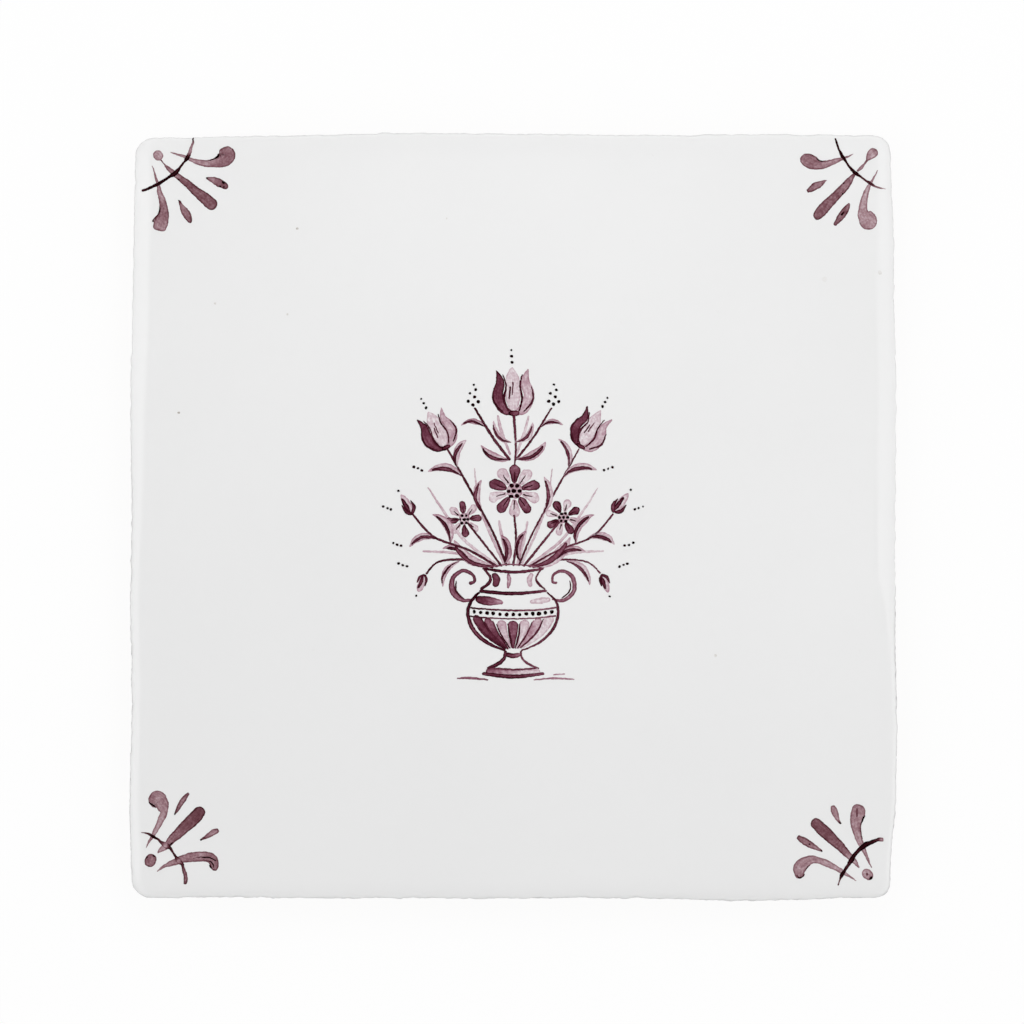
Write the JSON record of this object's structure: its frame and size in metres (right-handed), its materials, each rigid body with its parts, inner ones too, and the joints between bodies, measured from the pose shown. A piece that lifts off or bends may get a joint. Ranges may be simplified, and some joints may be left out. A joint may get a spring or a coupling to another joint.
{
  "type": "delft tile",
  "caption": "Square hand-cut earthenware wall tile with undercut sides, rolled edges, white tin glaze and purple painted decoration, for facing walls and hearths.",
  "frame": {"origin": "middle of the flat back", "axes": "+Z out of the glazed face, +Y up the painted picture, +X to the picture's right"},
  "size_m": [0.13, 0.13, 0.008],
  "materials": {
    "tin_glaze": "glossy white tin glaze with a few dark specks",
    "manganese_paint": "purple brown brushwork fired into the glaze"
  },
  "bodies": {
    "root": {"tile": "tin_glaze"}
  },
  "joints": []
}
